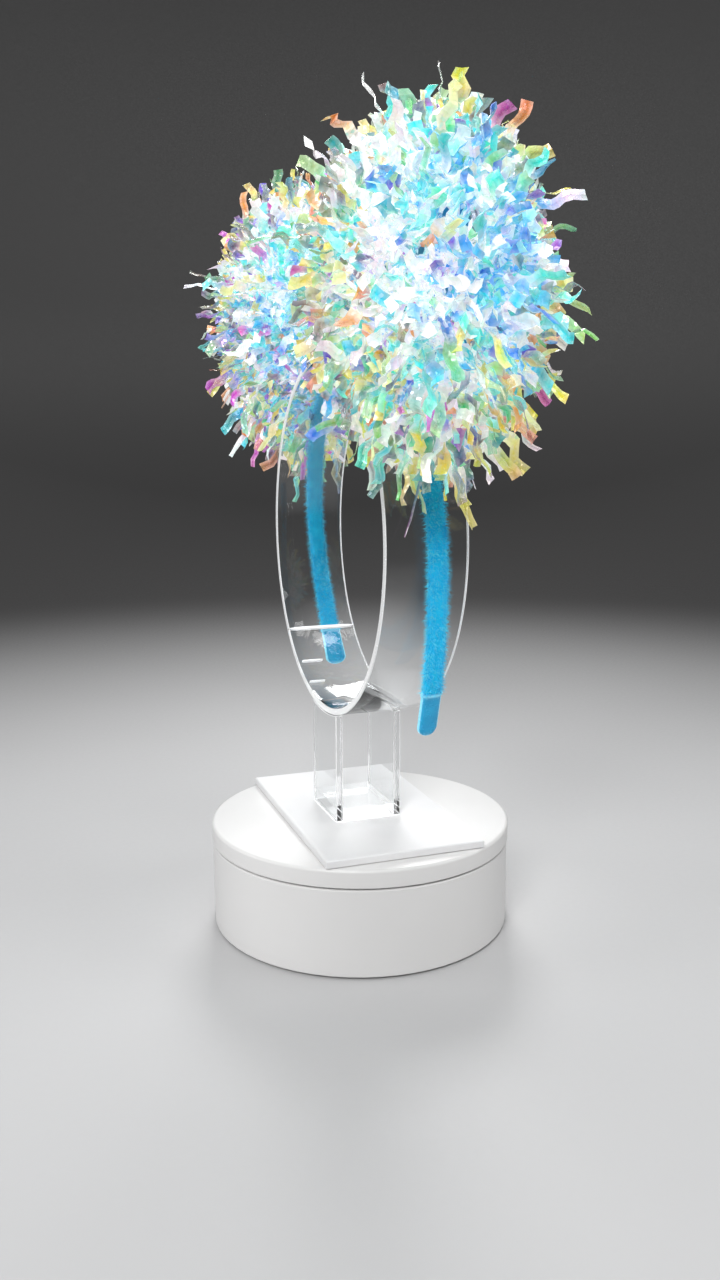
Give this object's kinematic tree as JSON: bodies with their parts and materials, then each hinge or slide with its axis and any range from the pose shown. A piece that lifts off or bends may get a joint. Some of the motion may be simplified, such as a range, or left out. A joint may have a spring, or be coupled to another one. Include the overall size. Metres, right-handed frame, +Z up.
{
  "type": "headband display stand on a motorised turntable",
  "caption": "Plush headband with large tinsel ears, hung over a clear ring on two uprights, standing on a round battery-powered turntable.",
  "frame": {"origin": "on the turntable's axis, on the surface that it stands on", "axes": "+Z up; +X along the clear ring's axis, towards the turntable's controls; the headband's legs hang on the -Y and +Y sides"},
  "size_m": [0.12, 0.2926, 0.3063],
  "materials": {
    "white_plastic": "satin",
    "steel": "plain",
    "brass": "plain",
    "nylon": "satin",
    "rubber": "matte",
    "cell": "shrink sleeve",
    "board": "solder resist",
    "dark_plastic": "satin",
    "clear_acrylic": "polished clear",
    "frosted_acrylic": "satin white",
    "blue_plush": "short plush",
    "blue_felt": "felt",
    "blue_tip": "soft gloss",
    "tinsel": "iridescent film strips"
  },
  "bodies": {
    "case": {"housing": "white_plastic", "bottom_cover": "white_plastic", "battery_box": "white_plastic", "spindle_bush": "brass", "cover_screw_1": "steel", "cover_screw_2": "steel", "cover_screw_3": "steel", "cover_screw_4": "steel", "rubber_foot_1": "rubber", "rubber_foot_2": "rubber", "rubber_foot_3": "rubber", "rubber_foot_4": "rubber", "motor": "steel", "motor_screw_1": "steel", "motor_screw_2": "steel", "roller_axle_1": "steel", "roller_axle_2": "steel", "roller_axle_3": "steel", "battery_cell_1": "cell", "battery_cell_2": "cell", "battery_spring_1": "steel", "battery_spring_2": "steel", "battery_contact_1": "steel", "battery_contact_2": "steel", "circuit_board": "board", "power_switch_body": "steel", "button_switch": "dark_plastic", "power_socket": "steel"},
    "turning_platter": {"platter": "white_plastic", "spindle": "steel", "retaining_clip": "steel", "drive_gear": "nylon", "gear_grub_screw": "steel"},
    "motor_output": {"motor_shaft": "steel", "motor_pinion": "nylon"},
    "roller_one": {"support_roller_1": "nylon"},
    "roller_two": {"support_roller_2": "nylon"},
    "roller_three": {"support_roller_3": "nylon"},
    "battery_lid": {"battery_door": "white_plastic"},
    "switch_knob": {"power_switch_slider": "dark_plastic"},
    "button": {"speed_button": "dark_plastic"},
    "clear_stand": {"stand_base": "frosted_acrylic", "upright_left": "clear_acrylic", "upright_right": "clear_acrylic", "foot_bar": "clear_acrylic", "ring": "clear_acrylic"},
    "headband": {"hoop_core": "white_plastic", "plush_sleeve": "blue_plush", "tip_near": "blue_tip", "tip_far": "blue_tip", "ear_frame_near": "steel", "ear_pad_near": "blue_felt", "ear_binding_near": "blue_plush", "tinsel_near": "tinsel", "ear_frame_far": "steel", "ear_pad_far": "blue_felt", "ear_binding_far": "blue_plush", "tinsel_far": "tinsel"}
  },
  "joints": [
    {"name": "platter_spin", "type": "hinge", "parent": "case", "child": "turning_platter", "pos_m": [0, 0, 0.035], "axis": [0, 0, 1], "continuous": true},
    {"name": "pinion_spin", "type": "hinge", "parent": "case", "child": "motor_output", "pos_m": [0, -0.024, 0.027], "axis": [0, 0, 1], "continuous": true},
    {"name": "roller_spin_1", "type": "hinge", "parent": "case", "child": "roller_one", "pos_m": [0, 0.0445, 0.03535], "axis": [0, 1, 0], "continuous": true},
    {"name": "roller_spin_2", "type": "hinge", "parent": "case", "child": "roller_two", "pos_m": [-0.03854, -0.02225, 0.03535], "axis": [-0.866, -0.5, 0], "continuous": true},
    {"name": "roller_spin_3", "type": "hinge", "parent": "case", "child": "roller_three", "pos_m": [0.03854, -0.02225, 0.03535], "axis": [0.866, -0.5, 0], "continuous": true},
    {"name": "battery_door_slide", "type": "slide", "parent": "case", "child": "battery_lid", "axis": [0, 1, 0], "range_m": [0, 0.05]},
    {"name": "switch_slide", "type": "slide", "parent": "case", "child": "switch_knob", "axis": [0, 1, 0], "range_m": [0, 0.003]},
    {"name": "button_press", "type": "slide", "parent": "case", "child": "button", "axis": [-1, 0, 0], "range_m": [0, 0.0005], "stiffness_N_per_m": 600, "springref_m": -0.0003},
    {"name": "stand_lift", "type": "slide", "parent": "turning_platter", "child": "clear_stand", "axis": [0, 0, 1], "range_m": [0, 0.12]},
    {"name": "headband_slide", "type": "slide", "parent": "clear_stand", "child": "headband", "axis": [1, 0, 0], "range_m": [-0.05, 0.05]}
  ],
  "couplings": [
    {"joint": "pinion_spin", "follows": "platter_spin", "ratio": -3},
    {"joint": "roller_spin_1", "follows": "platter_spin", "ratio": -11.125},
    {"joint": "roller_spin_2", "follows": "platter_spin", "ratio": -11.125},
    {"joint": "roller_spin_3", "follows": "platter_spin", "ratio": -11.125}
  ]
}
